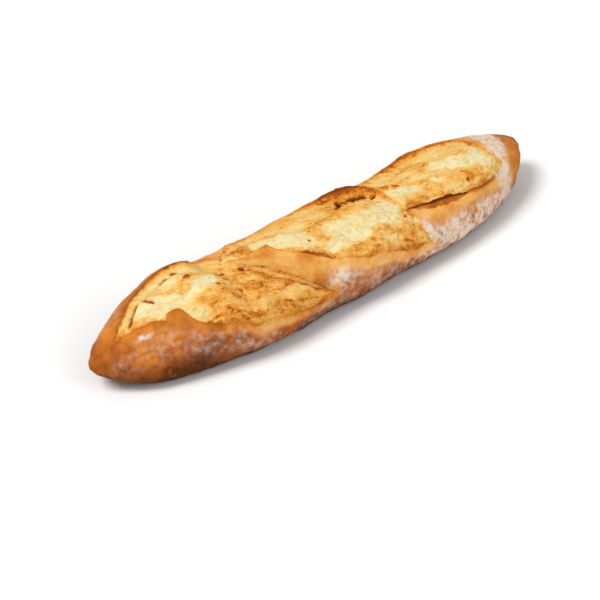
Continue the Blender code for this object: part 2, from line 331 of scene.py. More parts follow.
# ---- Toasting, browning and flour ----
# Toasting of the opened crumb and of the far walls, and browning of the far lips, as (s, amount).
CRUMB_TOAST = (
    (-1, 0.5), (-0.6, 0.58), (-0.35, 0.62), (0, 0.58), (0.25, 0.54), (0.35, 0.5),
    (0.6, 0.5), (1, 0.52),
)
WALL_TOAST = (
    (-1, 0.35), (-0.6, 0.38), (-0.42, 0.55), (-0.25, 0.55), (-0.1, 0.48), (0.03, 0.55),
    (0.1, 0.74), (0.2, 0.8), (0.26, 0.58), (0.32, 0.46), (0.45, 0.6), (0.6, 0.5), (1, 0.45),
)
RIM_BROWNING = (
    (-1, 0.3), (-0.8, 0.4), (-0.6, 0.6), (-0.45, 0.3), (-0.35, 0.1), (-0.15, 0.1),
    (0, 0.3), (0.08, 0.52), (0.22, 0.62), (0.3, 0.4), (0.45, 0.7), (0.65, 0.5), (1, 0.3),
)
# Flour on the flanks: how thick it is, the girths in half widths where it starts and stops, and
# how much of the crust between them it covers.
FLOUR_ALONG = (
    (-1, 0), (-0.93, 0.4), (-0.8, 0.44), (-0.6, 0.56), (-0.3, 0.5), (0, 0.52),
    (0.2, 0.6), (0.36, 1), (0.66, 1.05), (0.76, 0.8), (0.88, 0), (1, 0),
)
FLOUR_FROM = ((-1, 0.05), (-0.85, 0.15), (-0.72, 0.45), (-0.6, 0.85), (1, 0.85))
FLOUR_TO = ((-1, 0.5), (-0.85, 0.8), (-0.7, 1.15), (-0.58, 1.55), (-0.4, 1.8), (1, 1.9))
FLOUR_COVER = ((-1, 0.4), (-0.3, 0.5), (0.1, 0.55), (0.4, 0.72), (1, 0.74))
# Width in millimetres of the bare crust under the near lips, where no flour lies.
BARE_WIDTH = ((-1, 2.5), (-0.2, 2.5), (-0.12, 6.5), (0.2, 6.5), (0.29, 4), (0.36, 3.2), (1, 2.6))
# Baking of the crust, and what is added to it low on the flanks: partly real browning of the bottom crust,
# partly painted shade on the underside.
CRUST_BAKING = (
    (-1, 0.6), (-0.9, 0.44), (-0.72, 0.4), (-0.62, 0.38), (-0.52, 0.16), (-0.4, 0.06),
    (-0.3, 0.14), (-0.16, 0.2), (-0.06, 0), (0.7, 0), (0.8, 0.08), (0.87, 0.34), (1, 0.48),
)
FOOT_BAKING_AND_SHADE = (
    (-1, 0.34), (-0.6, 0.26), (-0.4, 0.48), (-0.2, 0.6), (0.15, 0.58), (0.4, 0.32), (1, 0.32),
)
# Pale crumb and thick flour, as (s, girth, half length, half width) with sizes in millimetres.
PALE_PATCHES = (
    (-0.77, 0.05, 13, 8), (-0.71, -0.22, 12, 8), (-0.625, -0.2, 13, 6), (-0.67, -0.58, 8, 5),
    (-0.55, -0.22, 9, 5), (-0.405, 0.12, 10, 7), (-0.64, 0.2, 10, 5), (-0.21, -0.05, 14, 7),
    (-0.145, -0.3, 8, 6), (-0.27, 0.15, 8, 5), (0, -0.3, 13, 6), (0.09, -0.42, 14, 8),
    (0.19, -0.48, 13, 9), (0.245, -0.32, 9, 7), (0.04, -0.62, 10, 4), (0.29, -0.16, 10, 7),
    (0.36, -0.24, 7, 4), (0.54, -0.1, 7, 4), (0.69, 0.02, 9, 5), (0.64, 0.2, 9, 4),
    (0.72, -0.2, 7, 5), (-0.16, 0, 11, 6), (-0.055, -0.6, 10, 5), (-0.01, -0.48, 8, 5),
    (0.61, -0.26, 12, 6), (0.7, -0.42, 9, 7), (0.48, -0.34, 6, 3),
)
FLOUR_SPOTS = ((0.305, -0.95, 6, 8), (-0.105, -1.05, 10, 7), (-0.835, -0.31, 5, 2))

# Toasting of the crumb: what the lips, the climb of a far wall, veins on crumb and on a far wall,
# raised relief in millimetres, flecks, flakes and the painted shade of pores and cracks add, and
# what pale patches take away.
LIP_TOAST = 0.10
LIP_TOAST_WIDTH = 6 * MM
CLIMB_TOAST = 0.25
CLIMB_MIDDLE = 0.4
VEIN_TOAST = (0.26, 0.14)
HEIGHT_TOAST = 0.10
RELIEF_RANGE = (-1.5, 2.0)
FLECK_TOAST = 0.22
FLECK_EDGE = (0.3, 0.6)
FLAKE_TOAST = 0.42
# Painted shade of pores and cracks: how much it warms the toasting, and how much it darkens.
SHADE_WARMTH = 0.22
PORE_CRACK_SHADE = 0.20
PALENESS = 0.46
PALE_EDGE = (0.2, 0.75)
PALE_WANDER = 0.45

# Browned rims of the far lips: least width, what full browning and the ear's height add to it,
# and how much streaks change it. The near lips have a narrow, weaker rim.
RIM_WIDTH = 0.7 * MM
RIM_SPREAD = 4.5 * MM
EAR_SHARE = 0.5
RIM_STREAKS = 0.9
LEAST_RIM = 0.4 * MM
NEAR_RIM = 0.22
NEAR_RIM_WIDTH = 0.8 * MM

# Flour: how it starts and stops around the loaf, in half widths, and fades above the floor. The
# left end has some flour right up to the lip.
FLOUR_START = 0.35
FLOUR_END = (-0.25, 0.2)
FLOUR_STOP = 0.96
FLOUR_FOOT = (3 * MM, 12 * MM)
FLOUR_EVERYWHERE = 0.01
BARE_EDGE = (0.3, 1.15)
LEFT_END = (-0.55, -0.75)
LEFT_DUST = 0.7
TEAR_BARENESS = 0.75
COVER_SPREAD = 0.42
CLUMP_SPREAD = 0.60
MOST_COVER = 1.3
# Thick flour: the spots, and the collar, which slants across the crown before the right tip.
THICK_COVER = 0.75
THICK_RANGE = (0.2, 1.1)
COLLAR = 1.15
COLLAR_AT = 0.755
COLLAR_SWEEP = 0.095
COLLAR_NEAR = -0.70
COLLAR_WANDER = 0.022
COLLAR_WIDTH = 0.058
COLLAR_END = (0.7, 1.4)

# Baking of the crust: what the flanks under the near lips, the edge of the base, large spots,
# rims and tears add, and where the flanks and the low baking begin and end. The flanks, the low
# part and the edge of the base are darker partly from real browning and partly as painted shade.
FLANK_BAKING_AND_SHADE = 0.36
FLANK_START = (4 * MM, 9 * MM)
FLANK_GIRTH = (0.75, 1.15)
FLANK_END = (0.8, 0.95)
LOW_HEIGHTS = (2 * MM, 24 * MM)
BASE_BAKING_AND_SHADE = 0.45
BASE_HEIGHTS = (1 * MM, 9 * MM)
MOTTLE = 0.20
RIM_BAKING = 0.45
TEAR_BAKING = 0.38

# ---- Colours and the material ----
PALE_CREAM = (0.77, 0.67, 0.38)
CREAM = (0.78, 0.58, 0.24)
GOLD = (0.78, 0.41, 0.088)
ORANGE = (0.60, 0.195, 0.018)
RUSSET = (0.31, 0.072, 0.007)
# Darkest colour of the painted shade in hollows, grooves, pores and cracks.
DEEP_SHADE = (0.085, 0.022, 0.004)
TAN_CRUST = (0.79, 0.41, 0.105)
ORANGE_CRUST = (0.62, 0.205, 0.024)
BROWN_CRUST = (0.36, 0.092, 0.012)
DEEP_CRUST = (0.18, 0.044, 0.007)
DARK_CRUST = (0.070, 0.018, 0.004)
FLOUR = (0.78, 0.69, 0.58)
CRUMB_RAMP = ((0.0, PALE_CREAM), (0.30, CREAM), (0.58, GOLD), (0.82, ORANGE), (1.0, RUSSET))
CRUST_RAMP = (
    (0.0, TAN_CRUST), (0.28, ORANGE_CRUST), (0.55, BROWN_CRUST), (0.80, DEEP_CRUST), (1.0, DARK_CRUST),
)
# Painted shade, from orange through russet to dark brown by the shade mask, full at FULL_SHADE.
PAINTED_SHADE_RAMP = ((0.12, ORANGE), (0.42, RUSSET), (0.90, DEEP_SHADE))
FULL_SHADE = 0.5

# Sizes of the noise in the material, and the range that most of such noise lies in.
GRIT_SIZE = 0.9 * MM
SPECKLE_SIZE = 2.2 * MM
CLOUD_SIZE = 9 * MM
NOISE_RANGE = (0.3, 0.7)
# What the noise and the browned rims add to the toasting and the baking.
SPECKLE_TOAST = 0.11
GRIT_TOAST = 0.07
RIM_TOAST = 0.50
CLOUD_BAKING = 0.08
GRIT_BAKING = 0.06
# Flour is a thin veil and grains of dust. Ranges are (from low, from high, to low, to high).
VEIL = 0.24
DUST_COVER = 0.66
DUST_FLOUR = 0.80
DUST_SPECKLE = 0.60
DUST_RANGE = (0.34, 1.16)
DUST_GRIT = (0.30, 0.62, 0.62, 1.12)
# Surface finish: floury crust is the roughest, and crumb is grainier than crust.
CRUST_ROUGHNESS = (0.0, 0.6, 0.55, 0.92)
CRUMB_ROUGHNESS = 0.80
SPECULAR = 0.03
GRAIN_HEIGHT = 0.6 * MM
GRIT_GRAIN = 0.45
CRUST_GRAIN = 0.30
CRUMB_GRAIN = 0.35

# ---- Floor, lights and view ----
FLOOR_SIZE = 12
FLOOR_COLOUR = (0.93, 0.93, 0.93)
FLOOR_ROUGHNESS = 0.9
# Lights, as (name, kind, place, strength, softness), and the light from all around.
LIGHTS = (
    ("key", "SUN", (-1.0, 0.25, 1.35), 2.38, 0.45),
    ("fill", "AREA", (0.0, -1.7, 1.1), 12.5, 1.6),
)
STUDIO_LIGHT = 0.42
VIEW_ELEVATION = np.radians(33.0)
VIEW_TURN = np.radians(44.64)
VIEW_DISTANCE = 2.0
SENSOR = 36.0
# Width of the view at the loaf, and how far the loaf sits right of and above the centre of it.
VIEW_WIDTH = 1.0004 * SPAN.x
LOAF_RIGHT = 0.0367 * SPAN.x
LOAF_ABOVE = 0.0920 * SPAN.x


# ---- Curves and noise ----
def smooth_through(points, x, column=1):
    """Monotone cubic curve through one column of the points."""
    table = np.array(points, dtype=float)
    px, py = table[:, 0], table[:, column]
    slope = np.diff(py) / np.diff(px)
    tangent = np.zeros(len(px))
    tangent[0] = slope[0]
    tangent[-1] = slope[-1]
    same_way = slope[:-1] * slope[1:] > 0
    product = slope[:-1][same_way] * slope[1:][same_way]
    tangent[1:-1][same_way] = 2 * product / (slope[:-1] + slope[1:])[same_way]
    k = np.clip(np.searchsorted(px, x) - 1, 0, len(px) - 2)
    step = px[k + 1] - px[k]
    t = np.clip((x - px[k]) / step, 0, 1)
    start = (2 * t**3 - 3 * t**2 + 1) * py[k] + (t**3 - 2 * t**2 + t) * step * tangent[k]
    end = (3 * t**2 - 2 * t**3) * py[k + 1] + (t**3 - t**2) * step * tangent[k + 1]
    return start + end


def smoothstep(low, high, value):
    t = np.clip((value - low) / (high - low), 0, 1)
    return t * t * (3 - 2 * t)


def blend(first, second, share):
    """The first where the share is 0, and the second where it is 1."""
    return first * (1 - share) + second * share


def bell(gap, width):
    """1 in the middle, falling off to nothing at about twice the width."""
    return np.exp(-((gap / width) ** 2))


def fractal(points, size, octaves, shift):
    """Fractal noise of about -1 to 1. Size is the width of its largest lumps, for each axis or for all."""
    scaled = (points / np.array(size) + shift).reshape(-1, 3).tolist()
    values = [noise.fractal(p, NOISE_FALL, NOISE_STEP, octaves) for p in scaled]
    return np.array(values).reshape(points.shape[:-1])


def crumb_noise(places, layer):
    """A layer of CRUMB_NOISE at each place on the unrolled skin."""
    along, across, octaves, shift = CRUMB_NOISE[layer]
    return fractal(on_crumb(places), (along * MM, across * MM, MM), octaves, shift)


def crust_noise(points, layer):
    """A layer of CRUST_NOISE at each point of the skin."""
    size, octaves, shift = CRUST_NOISE[layer]
    return fractal(points, np.array(size) * MM, octaves, shift)


def unit(vectors):
    return vectors / np.linalg.norm(vectors, axis=-1, keepdims=True).clip(1e-12)


def crest(value):
    """Noise folded over, so that it has sharp crests of height 1 where it was 0."""
    return 1 - np.abs(value).clip(0, 1)


def dots(points, size, shift, inner, outer):
    """Soft round dots of 0 to 1, one in each of some cells of the noise, with radii in cell widths."""
    scaled = (points / np.array(size) + shift).reshape(-1, 3).tolist()
    found = [noise.voronoi(p) for p in scaled]
    distance = np.array([f[0][0] for f in found]).reshape(points.shape[:-1])
    centre = np.array([f[1][0][:] for f in found]).reshape(points.shape)
    pick = np.sin(centre @ np.array(HASH_DIRECTION)) * HASH_SCALE
    return (1 - smoothstep(inner, outer, distance)) * (pick - np.floor(pick) > EMPTY_CELLS)


# ---- The skin before it is cut ----
def by_end(s, values):
    """Pick the left or the right value for each place along the loaf."""
    return np.where(s < 0, values[0], values[1])


def signed_power(value, power):
    return np.sign(value) * np.abs(value) ** power


def skin(s, angle):
    """Points of the uncut skin: s along the loaf, angle around it, 90 degrees at the crown."""
    reach = np.abs(s)
    half_width = HALF_WIDTH * (1 - reach ** by_end(s, WIDTH_REACH)) ** (1 / by_end(s, WIDTH_ROUNDNESS))
    rise = (1 - reach ** by_end(s, HEIGHT_REACH)) ** (1 / by_end(s, HEIGHT_ROUNDNESS))
    tip = by_end(s, TIP_HEIGHT)
    top = tip + (HEIGHT * smooth_through(CROWN_SWELL, s) - tip) * rise
    lift = np.clip((reach - by_end(s, LIFT_START)) / (1 - by_end(s, LIFT_START)), 0, 1)
    base = tip * (1 - (1 - lift**LIFT_POWER) ** (1 / by_end(s, LIFT_ROUNDNESS)))
    widest = base + WIDEST_LEVEL * (top - base)

    across = np.cos(angle)
    up = np.sin(angle)
    square = np.where(up >= 0, CROWN_SQUARENESS, BELLY_SQUARENESS)
    side = half_width * np.where(across < 0, smooth_through(NEAR_SWELL, s), smooth_through(FAR_SWELL, s))
    y = side * signed_power(across, 2 / square) + BEND * (s**2 - 1 / 3)
    height = np.where(up >= 0, top - widest, (widest - base) * BELLY_DROP)
    z = np.maximum(widest + height * signed_power(up, 2 / square), base)
    x = np.broadcast_to(s * HALF_LENGTH, y.shape)
    return np.stack([x, y, z], axis=-1)


def travelled_around(rings):
    """Distance of each ring point from the first point of its ring, along the ring."""
    steps = np.linalg.norm(np.diff(rings, axis=1), axis=2)
    return np.concatenate([np.zeros((len(rings), 1)), np.cumsum(steps, axis=1)], axis=1)


def ring_angles():
    """Angles around the loaf from under the base, over the far side, the crown and the near side."""
    fine = np.linspace(-0.5, 1.5, FINE_ANGLES) * np.pi
    middle_ring = skin(np.zeros((1, 1)), fine[None, :])
    travelled = travelled_around(middle_ring)[0]
    girth = travelled[FINE_ANGLES // 2] - travelled
    opened = smoothstep(OPENED_GIRTH[0] - OPENED_MARGIN, OPENED_GIRTH[0], girth)
    opened *= 1 - smoothstep(OPENED_GIRTH[1], OPENED_GIRTH[1] + OPENED_MARGIN, girth)
    density = PLAIN_DENSITY + (1 - PLAIN_DENSITY) * opened
    weight = np.concatenate([[0], np.cumsum(np.diff(travelled) * (density[1:] + density[:-1]) / 2)])
    return np.interp(np.linspace(0, weight[-1], RING_POINTS + 1), weight, fine)


def ring_stations():
    """Where the rings stand along the loaf, from -1 to 1 without the tips themselves."""
    even = np.linspace(-1, 1, RINGS + 2)[1:-1]
    return (1 - TIP_CROWDING) * even + TIP_CROWDING * np.sin(even * np.pi / 2)


# ---- Lips, seams and openings on the unrolled skin ----
def ragged(s, shift):
    """Sideways wander of a torn lip, in metres."""
    x = s * HALF_LENGTH
    line = np.stack([x, np.zeros_like(x), np.zeros_like(x)], axis=-1)
    coarse = fractal(line, RAGGED_COARSE[0], 2, shift) * RAGGED_COARSE[1]
    return coarse + fractal(line, RAGGED_FINE[0], 2, shift + FINE_SHIFT) * RAGGED_FINE[1]


def edge_girth(points, s, kind):
    """Girth of a lip or a seam in metres, ragged except at its two ends."""
    first, last = points[0][0], points[-1][0]
    inner = smoothstep(0, CLEAN_ENDS, s - first) * smoothstep(0, CLEAN_ENDS, last - s)
    return smooth_through(points, s) * HALF_WIDTH + ragged(s, EDGE_SHIFTS[kind]) * inner


def steadied(values):
    """Running mean over a few samples, for a direction without jitter."""
    padded = np.pad(values, STEADY_SAMPLES // 2, "edge")
    return np.convolve(padded, np.ones(STEADY_SAMPLES) / STEADY_SAMPLES, "valid")


def edge_samples(points, kind):
    """Evenly spaced samples of an edge: (x, girth), the direction square to it, and its height."""
    s = np.linspace(points[0][0], points[-1][0], FINE_SAMPLES)
    line = np.stack([s * HALF_LENGTH, edge_girth(points, s, kind)], axis=-1)
    travelled = np.concatenate([[0], np.cumsum(np.linalg.norm(np.diff(line, axis=0), axis=1))])
    even = np.arange(0, travelled[-1], LIP_STEP)
    x = np.interp(even, travelled, line[:, 0])
    girth = np.interp(even, travelled, line[:, 1])
    height = smooth_through(points, x / HALF_LENGTH, 2) * MM
    tangent = unit(np.stack([np.gradient(steadied(x)), np.gradient(steadied(girth))], axis=-1))
    square = np.stack([-tangent[:, 1], tangent[:, 0]], axis=-1)
    return np.stack([x, girth], axis=-1), square, height


def inside(opening, places):
    """True between the lips of an opening."""
    s = places[..., 0] / HALF_LENGTH
    along = (s > opening["near"][0][0]) & (s < opening["near"][-1][0])
    above = places[..., 1] > edge_girth(opening["near"], s, "near")
    below = places[..., 1] < edge_girth(opening["far"], s, "far")
    return along & above & below


def beyond_seam(cut, places):
    """True between a cut's seam and its far lip."""
    s = places[..., 0] / HALF_LENGTH
    return inside(cut, places) & (places[..., 1] > edge_girth(cut["seam"], s, "seam"))


class Edge:
    """One kind of edge over all the cuts, without the stretches that another cut swallows."""

    def __init__(self, kind, swallowed_by):
        kept = []
        for cut in CUTS:
            line, square, height = edge_samples(cut[kind], kind)
            free = np.ones(len(line), bool)
            for other in swallowed_by:
                if other is not cut:
                    free &= ~inside(other, line)
            kept.append((line[free], square[free], height[free]))
        self.line, self.square, self.height = (np.concatenate(part) for part in zip(*kept))
        self.tree = kdtree.KDTree(len(self.line))
        for i, (x, girth) in enumerate(self.line.tolist()):
            self.tree.insert((x, girth, 0), i)
        self.tree.balance()

    def nearest(self, places):
        """Index of the nearest sample, and the step to it, for each place."""
        flat = places.reshape(-1, 2).tolist()
        index = np.array([self.tree.find((x, g, 0))[1] for x, g in flat]).reshape(places.shape[:-1])
        return index, self.line[index] - places


class Surroundings:
    """What lies at every place of the unrolled skin: crumb, far wall, lips and seam."""

    def __init__(self, places, on_lip):
        near = Edge("near", CUTS)
        far = Edge("far", CUTS)
        seam = Edge("seam", [])
        near_index, near_step = near.nearest(places)
        far_index, far_step = far.nearest(places)
        seam_index, seam_step = seam.nearest(places)
        self.near_gap = np.linalg.norm(near_step, axis=-1)
        self.far_gap = np.linalg.norm(far_step, axis=-1)
        self.seam_gap = np.linalg.norm(seam_step, axis=-1)
        self.lip_gap = np.minimum(self.near_gap, self.far_gap)
        self.rim = near.height[near_index]
        self.ear = far.height[far_index]
        self.depth = seam.height[seam_index]
        self.past_ear = far.square[far_index]

        opened = [inside(cut, places) for cut in CUTS]
        self.crumb = np.any(opened, axis=0) & ~on_lip
        self.wall = np.any([beyond_seam(cut, places) for cut in CUTS], axis=0) & self.crumb
        self.bulge = np.max([here * cut["bulge"] * MM for here, cut in zip(opened, CUTS)], axis=0)
        # Share of the way from the seam up to the far lip, and from the seam to the near lip.
        self.climb = self.seam_gap / (self.seam_gap + self.far_gap + LEAST_GAP)
        self.swell = self.seam_gap / (self.seam_gap + self.near_gap + LEAST_GAP)
        # How much each place is wall, without a sharp start at the seam.
        self.soft_wall = smoothstep(0, WALL_BLEND, self.seam_gap) * self.wall
        # How much small relief it takes: crumb, but not its last millimetre at a lip.
        self.off_lip = self.crumb * smoothstep(0, OFF_LIP, self.lip_gap)


def on_crumb(places):
    """Places as points in the noise's own axes: along the pull, across it, and flat."""
    return np.stack([places @ PULL, places @ ACROSS, np.zeros(places.shape[:-1])], axis=-1)


def on_skin(places):
    """Places as s along the loaf and the size of the girth in half widths."""
    return places[..., 0] / HALF_LENGTH, np.abs(places[..., 1]) / HALF_WIDTH


def spot(places, s, girth, half_long, half_wide):
    """A soft oval of 0 to 1, with its length along the pull."""
    gap = places - np.array((s * HALF_LENGTH, girth * HALF_WIDTH))
    return np.exp(-((gap @ PULL / (half_long * MM)) ** 2) - (gap @ ACROSS / (half_wide * MM)) ** 2)


def path_gap(places, path):
    """Distance from each place to a short path of (s, girth) points."""
    corners = np.array(path) * (HALF_LENGTH, HALF_WIDTH)
    gap = np.full(places.shape[:-1], np.inf)
    for start, end in zip(corners[:-1], corners[1:]):
        along = end - start
        t = np.clip(((places - start) @ along) / (along @ along), 0, 1)
        gap = np.minimum(gap, np.linalg.norm(places - start - t[..., None] * along, axis=-1))
    return gap


# ---- Relief ----
def crumb_texture(places, wall):
    """Relief of torn crumb in metres, and how far each place is a pore or a crack, for painted shade."""
    folds = crumb_noise(places, "folds") * FOLD_HEIGHT
    strands = (crest(crumb_noise(places, "strands")) - STRAND_LEVEL) * STRAND_HEIGHT
    crumbs = crumb_noise(places, "crumbs") * CRUMB_HEIGHT
    patchy = smoothstep(-0.30, 0.35, crumb_noise(places, "patches"))
    line = 1 - smoothstep(0.0, CRACK_WIDTH, np.abs(crumb_noise(places, "cracks")))
    crack = line * smoothstep(-0.05, 0.25, crumb_noise(places, "cracked"))
    pore = dots(on_crumb(places), np.array(PORE_CELL) * MM, PORE_SHIFT, *PORE_RADII)
    relief = folds + (strands + crumbs) * blend(*PATCH_ROUGHNESS, patchy)
    rough = relief - pore * PORE_DEPTH - crack * CRACK_DEPTH
    streaks = (crest(crumb_noise(places, "streaks")) - STREAK_LEVEL) * STREAK_HEIGHT
    drawn = folds * WALL_FOLDS + crumbs * WALL_CRUMBS + streaks
    # Pores and cracks, which get painted shade in the colour.
    pore_crack_shade = np.maximum(pore * PORE_SHADE, crack) * (1 - WALL_UNSHADED * wall)
    return blend(rough, drawn, wall), pore_crack_shade


def crust_texture(points):
    """Relief of plain crust in metres: slow lumps, wrinkles and small blisters."""
    lumps = crust_noise(points, "lumps") * LUMP_HEIGHT
    wrinkles = crust_noise(points, "wrinkles") * WRINKLE_HEIGHT
    blisters = dots(points, BLISTER_CELL, BLISTER_SHIFT, *BLISTER_RADII) * BLISTER_HEIGHT
    return lumps + wrinkles + blisters


def crust_height(at):
    """Crust, raised towards the lips."""
    return np.maximum(at.ear * np.exp(-at.far_gap / EAR_REACH), at.rim * np.exp(-at.near_gap / NEAR_REACH))


def opened_height(at):
    """The far wall climbs to just under the ear. The crumb swells, and steps down at the near lip."""
    wall = -at.depth + (at.depth + at.ear - UNDER_EAR) * at.climb**WALL_CURVE
    swollen = at.bulge * np.sin(np.pi * at.swell**SWELL_SKEW) ** SWELL_FULLNESS
    sunk = at.depth * np.exp(-at.seam_gap / SEAM_REACH)
    crumb = swollen - sunk - NEAR_STEP * np.exp(-at.near_gap / NEAR_STEP_REACH)
    return np.where(at.wall, wall, crumb)


def overhang(at):
    """Shift of each ear over its opening, and of the wall below it back under the crust."""
    lean = OVERHANG_SHARE * at.ear * np.exp(-at.far_gap / OVERHANG_REACH)
    lean = np.where(at.crumb, -UNDERCUT_SHARE * lean, lean)
    return -at.past_ear * lean[..., None]


def small_places(places, at):
    """Height of the hollows, flakes, knobs and grooves, painted shade of the hollows and grooves, and a mask
    of the flakes.
    """
    wander = [crumb_noise(places, layer) for layer in ("wander along", "wander around")]
    warped = places + np.stack(wander, axis=-1) * WANDER
    height, hollow_shade, flake = np.zeros((3, *places.shape[:-1]))
    for s, girth, half_long, half_wide, rise in HOLLOWS:
        oval = smoothstep(*HOLLOW_EDGE, spot(warped, s, girth, half_long, half_wide)) * at.off_lip
        height += rise * MM * oval
        # Painted shade: a hollow is darker the deeper it is.
        hollow_shade = np.maximum(hollow_shade, oval * min(1.0, -rise / FULL_SHADE_DEPTH))
    for s, girth, half_long, half_wide, rise in FLAKES:
        oval = smoothstep(*FLAKE_EDGE, spot(warped, s, girth, half_long, half_wide)) * at.crumb
        height += rise * MM * oval
        flake = np.maximum(flake, oval)
    for s, girth, half_long, half_wide, rise in KNOBS:
        height += rise * MM * spot(places, s, girth, half_long, half_wide)
    for width, depth, darkness, path in GROOVES:
        groove = bell(path_gap(warped, path), width * MM) * at.off_lip
        height -= depth * MM * groove
        # Painted shade along the groove.
        hollow_shade = np.maximum(hollow_shade, darkness * groove)
    return height, hollow_shade, flake


def torn_crust(places, at):
    """Height of the narrow tears beside the cuts, and a mask of them."""
    height, mask = np.zeros((2, *places.shape[:-1]))
    for tear in TEARS:
        here = inside(tear, places) & ~at.crumb
        height -= here * tear["depth"] * MM
        mask = np.maximum(mask, here)
    return height, mask


def surface(places, skin_points, on_lip):
    """Height, shift along and around the loaf, and colouring masks of every grid point."""
    at = Surroundings(places, on_lip)
    torn, pore_crack_shade = crumb_texture(places, at.soft_wall)
    torn = torn * smoothstep(0, LIP_CALM, at.lip_gap)
    crust = crust_height(at) + crust_texture(skin_points)
    height = np.where(at.crumb, opened_height(at) + torn, crust)
    small, hollow_shade, flake = small_places(places, at)
    tear_height, tear = torn_crust(places, at)
    edge = edge_of(places, at)
    masks = {
        "crumb": at.crumb.astype(float),
        # Pores and cracks get painted shade: warmer toast and, with the hollows and grooves, a darker shade
        # mask.
        "toast": toast_of(places, at, torn) + FLAKE_TOAST * flake + SHADE_WARMTH * pore_crack_shade,
        "shade": np.clip(hollow_shade + PORE_CRACK_SHADE * pore_crack_shade, 0, 1),
        "edge": edge,
        "flour": flour_of(places, skin_points, at.near_gap) * (1 - TEAR_BARENESS * tear),
        "baking_and_shade": baking_and_shade_of(places, skin_points, at.near_gap, edge, tear),
    }
    return height + small + tear_height, overhang(at), masks


# ---- Colouring masks ----
def toast_of(places, at, torn):
    """How far the opened crumb is toasted: 0 is pale cream, 1 is orange-brown."""
    s = places[..., 0] / HALF_LENGTH
    veins = crumb_noise(places, "veins")
    pale = np.clip(sum(spot(places, *patch) for patch in PALE_PATCHES), 0, 1)
    pale = smoothstep(*PALE_EDGE, pale + PALE_WANDER * veins)
    crumb = smooth_through(CRUMB_TOAST, s) + LIP_TOAST * bell(at.near_gap, LIP_TOAST_WIDTH) - PALENESS * pale
    wall = smooth_through(WALL_TOAST, s) + CLIMB_TOAST * (at.climb**2 - CLIMB_MIDDLE)
    vein_toast = blend(*VEIN_TOAST, at.soft_wall) * veins
    height_toast = HEIGHT_TOAST * np.clip(torn / MM, *RELIEF_RANGE)
    flecks = smoothstep(*FLECK_EDGE, crumb_noise(places, "flecks"))
    toast = blend(crumb, wall, at.soft_wall) + vein_toast + height_toast + FLECK_TOAST * flecks
    return np.clip(toast, 0, 1)


def edge_of(places, at):
    """Browned rims along the lips, widest on the tallest ears and streaked down the wall."""
    browning = smooth_through(RIM_BROWNING, places[..., 0] / HALF_LENGTH)
    streaks = 1 + RIM_STREAKS * crumb_noise(places, "rims")
    width = (RIM_WIDTH + RIM_SPREAD * browning**2 + EAR_SHARE * at.ear * browning) * streaks
    far_rim = bell(at.far_gap, width.clip(LEAST_RIM)) * browning
    return np.maximum(far_rim, bell(at.near_gap, NEAR_RIM_WIDTH) * NEAR_RIM)


def flour_of(places, points, near_gap):
    """Dusting of flour: thick along the flanks and before the right tip, thin elsewhere."""
    s, girth = on_skin(places)
    clumps = CLUMP_SPREAD * crust_noise(points, "clumps")

    start = smoothstep(0, FLOUR_START, girth - smooth_through(FLOUR_FROM, s))
    end = smoothstep(*FLOUR_END, girth - smooth_through(FLOUR_TO, s))
    foot = smoothstep(*FLOUR_FOOT, points[..., 2])
    bare = 1 - smoothstep(*BARE_EDGE, near_gap / (smooth_through(BARE_WIDTH, s) * MM))
    bare = bare * (1 - LEFT_DUST * smoothstep(*LEFT_END, s))
    band = start * (1 - FLOUR_STOP * end) * foot * (1 - bare) * smooth_through(FLOUR_ALONG, s)
    cover = smooth_through(FLOUR_COVER, s) + COVER_SPREAD * crust_noise(points, "cover")
    flour = (band + FLOUR_EVERYWHERE) * np.clip(cover + clumps, 0, MOST_COVER)

    collar_at = COLLAR_AT + COLLAR_SWEEP * smoothstep(COLLAR_NEAR, 0, places[..., 1] / HALF_WIDTH)
    collar_at = collar_at + COLLAR_WANDER * crust_noise(points, "collar")
    collar = COLLAR * np.exp(-(((s - collar_at) / COLLAR_WIDTH) ** 4)) * (1 - smoothstep(*COLLAR_END, girth))
    dusted_spots = sum(spot(places, *place) for place in FLOUR_SPOTS)
    thick = (collar + dusted_spots) * np.clip(THICK_COVER + clumps, *THICK_RANGE)
    return np.clip(flour + thick, 0, 1)


def baking_and_shade_of(places, points, near_gap, edge, tear):
    """How dark the crust is, from baking and, low on the sides, from painted shade: 0 is tan, 1 is dark
    brown.
    """
    s, girth = on_skin(places)
    # Flanks, the low part and the edge of the base: partly real browning, partly painted shade darkening the
    # sides towards the floor.
    flank_baking_and_shade = smoothstep(*FLANK_START, near_gap) * smoothstep(*FLANK_GIRTH, girth)
    flank_baking_and_shade = flank_baking_and_shade * (1 - smoothstep(*FLANK_END, np.abs(s)))
    low = (1 - smoothstep(*LOW_HEIGHTS, points[..., 2])) * smooth_through(FOOT_BAKING_AND_SHADE, s)
    base = 1 - smoothstep(*BASE_HEIGHTS, points[..., 2])
    scorch = sum(amount * bell(path_gap(places, path), width * MM) for width, amount, path in SCORCHES)
    baking_and_shade = smooth_through(CRUST_BAKING, s) + FLANK_BAKING_AND_SHADE * flank_baking_and_shade + low + BASE_BAKING_AND_SHADE * base
    baking_and_shade = baking_and_shade + MOTTLE * crust_noise(points, "mottle") + scorch
    return np.clip(baking_and_shade + RIM_BAKING * edge + TEAR_BAKING * tear, 0, 1)


# ---- The mesh ----
def tangents(points):
    """Unit directions along the loaf and around it towards the far side, and the outward normal."""
    along = unit(np.gradient(points, axis=0))
    wrapped = np.concatenate([points[:, -2:-1], points, points[:, 1:2]], axis=1)
    around = unit(wrapped[:, :-2] - wrapped[:, 2:])
    return along, around, unit(np.cross(along, around))


